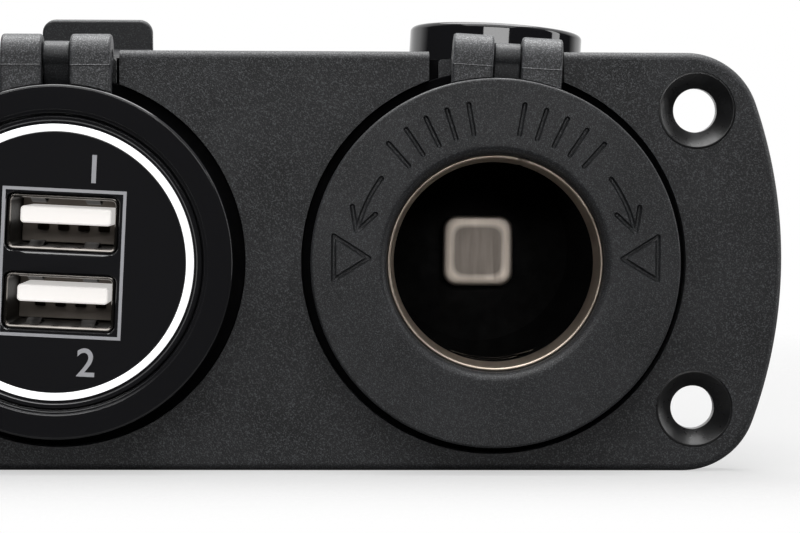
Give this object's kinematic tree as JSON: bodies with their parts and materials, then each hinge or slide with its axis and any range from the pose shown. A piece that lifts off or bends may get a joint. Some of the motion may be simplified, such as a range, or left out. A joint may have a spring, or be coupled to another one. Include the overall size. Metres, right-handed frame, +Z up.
{
  "type": "twin vehicle power outlet panel",
  "caption": "Surface-mount panel with a 12 volt plug socket and a twin USB charging outlet, each under a hinged flip lid.",
  "frame": {"origin": "centre of the four-screw pattern, on the panel's back face", "axes": "+X along the panel towards the plug socket, -Y out of the panel's front towards the user, +Z up"},
  "size_m": [0.1084, 0.0493, 0.0504],
  "materials": {
    "panel": "fine moulded grain",
    "flange_plastic": "fine moulded grain",
    "shell_metal": "polished nickel",
    "insulator": "smooth",
    "contact_metal": "satin nickel",
    "spring_steel": "drawn wire",
    "brass": "turned",
    "terminal_metal": "tinned",
    "seal_rubber": "matt",
    "nut_plastic": "moulded",
    "hinge_plastic": "fine moulded grain",
    "pin_steel": "plain",
    "lid_plastic": "fine moulded grain",
    "plug_gloss": "mirror polished",
    "bezel_gloss": "gloss",
    "face_gloss": "high gloss",
    "ring_glow": "lit diffuser",
    "port_metal": "stamped",
    "tongue_plastic": "moulded",
    "port_gold": "plated",
    "board_green": "solder mask",
    "coil_ferrite": "ferrite",
    "can_metal": "sleeved can",
    "chip_black": "moulded",
    "lamp_lens": "clear",
    "cap_plastic": "moulded"
  },
  "bodies": {
    "root": {"panel": "panel", "socket_housing": "flange_plastic", "socket_shell": "shell_metal", "socket_insulator": "insulator", "contact_spring": "spring_steel", "contact_rivet": "brass", "positive_terminal": "terminal_metal", "negative_terminal": "terminal_metal", "socket_gasket": "seal_rubber", "socket_nut": "nut_plastic", "socket_collar": "hinge_plastic", "socket_hinge_pin": "pin_steel", "charger_housing": "bezel_gloss", "charger_face": "face_gloss", "light_ring": "ring_glow", "port_shell_upper": "port_metal", "port_shell_lower": "port_metal", "port_tongue_upper": "tongue_plastic", "port_tongue_lower": "tongue_plastic", "port_contacts_upper": "port_gold", "port_contacts_lower": "port_gold", "circuit_board": "board_green", "board_coil": "coil_ferrite", "board_capacitors": "can_metal", "board_chip": "chip_black", "ring_lamps": "lamp_lens", "charger_rear_cap": "cap_plastic", "charger_positive_terminal": "terminal_metal", "charger_negative_terminal": "terminal_metal", "charger_gasket": "seal_rubber", "charger_nut": "nut_plastic", "charger_collar": "hinge_plastic", "charger_hinge_pin": "pin_steel"},
    "socket_lid": {"socket_lid": "lid_plastic", "socket_lid_plug": "plug_gloss"},
    "charger_lid": {"charger_lid": "lid_plastic", "charger_lid_pad": "seal_rubber"},
    "contact": {"center_contact": "contact_metal"}
  },
  "joints": [
    {"name": "socket_lid_hinge", "type": "hinge", "parent": "root", "child": "socket_lid", "pos_m": [0.02446, -0.00345, 0.02156], "axis": [0.9983, 0, -0.0576], "range_deg": [0, 273]},
    {"name": "charger_lid_hinge", "type": "hinge", "parent": "root", "child": "charger_lid", "pos_m": [-0.0232, -0.00345, 0.0216], "axis": [1, 0, 0], "range_deg": [-11, 262]},
    {"name": "contact_slide", "type": "slide", "parent": "root", "child": "contact", "axis": [0, 1, 0], "range_m": [0, 0.0015], "stiffness_N_per_m": 2000, "springref_m": -0.001, "deforming": ["contact_spring"]}
  ]
}
